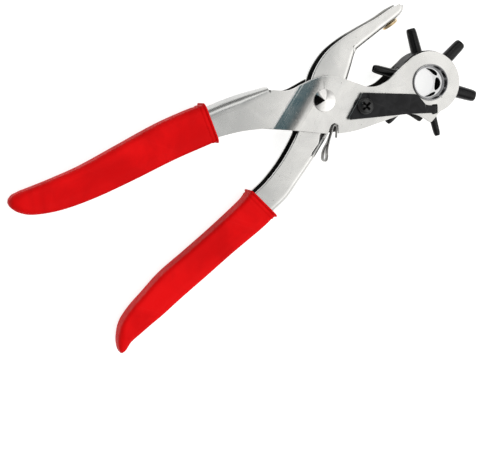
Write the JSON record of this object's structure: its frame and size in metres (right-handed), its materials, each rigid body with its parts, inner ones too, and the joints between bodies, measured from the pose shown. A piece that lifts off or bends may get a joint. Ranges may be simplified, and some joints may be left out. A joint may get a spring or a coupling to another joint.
{
  "type": "rotary leather punch",
  "caption": "Revolving leather hole punch: two folded steel levers with vinyl grips, a wheel of punch tubes, a brass anvil and an indexing leaf spring.",
  "frame": {"origin": "centre of the flat outer face of the pivot rivet's back head, on which the tool lies", "axes": "+Z along the pivot towards the front, +X from the pivot to the wheel's axle, +Y across the head towards the jaw"},
  "size_m": [0.2226, 0.134, 0.023],
  "materials": {
    "nickel_plated_steel": "nickel plated, satin",
    "bright_steel": "bright turned",
    "spring_steel": "grey rolled strip",
    "blackened_steel": "black oxide",
    "black_spring_steel": "black oxide, satin",
    "brass": "turned",
    "red_vinyl": "dipped, satin"
  },
  "bodies": {
    "punch_frame": {"punch_lever": "nickel_plated_steel", "pivot_rivet": "bright_steel", "pivot_washer_front": "bright_steel", "pivot_washer_back": "bright_steel", "wheel_axle": "bright_steel", "index_spacer": "blackened_steel", "index_screw": "blackened_steel", "index_nut": "bright_steel", "return_spring": "spring_steel", "grip_upper": "red_vinyl"},
    "anvil_arm": {"anvil_lever": "nickel_plated_steel", "anvil_pad": "brass", "grip_lower": "red_vinyl"},
    "wheel": {"wheel_hub": "blackened_steel", "punch_tube_4_0mm": "blackened_steel", "punch_tube_3_5mm": "blackened_steel", "punch_tube_3_0mm": "blackened_steel", "punch_tube_2_5mm": "blackened_steel", "punch_tube_2_0mm": "blackened_steel", "punch_tube_4_5mm": "blackened_steel"},
    "leaf": {"index_leaf": "black_spring_steel"}
  },
  "joints": [
    {"name": "handle_pivot", "type": "hinge", "parent": "punch_frame", "child": "anvil_arm", "pos_m": [0, 0, 0.0097], "axis": [0, 0, -1], "range_deg": [0, 6.1], "stiffness_Nm_per_rad": 1.5, "springref_deg": -5.73, "deforming": ["return_spring"]},
    {"name": "wheel_spin", "type": "hinge", "parent": "punch_frame", "child": "wheel", "pos_m": [0.051, 0, 0.0097], "axis": [0, 0, 1], "continuous": true},
    {"name": "index_leaf_flex", "type": "hinge", "parent": "punch_frame", "child": "leaf", "pos_m": [0.0225, -0.0065, 0.0201], "axis": [-0.203, -0.9792, 0], "range_deg": [0, 3], "stiffness_Nm_per_rad": 0.4, "springref_deg": -2.86, "deforming": ["index_leaf"]}
  ]
}
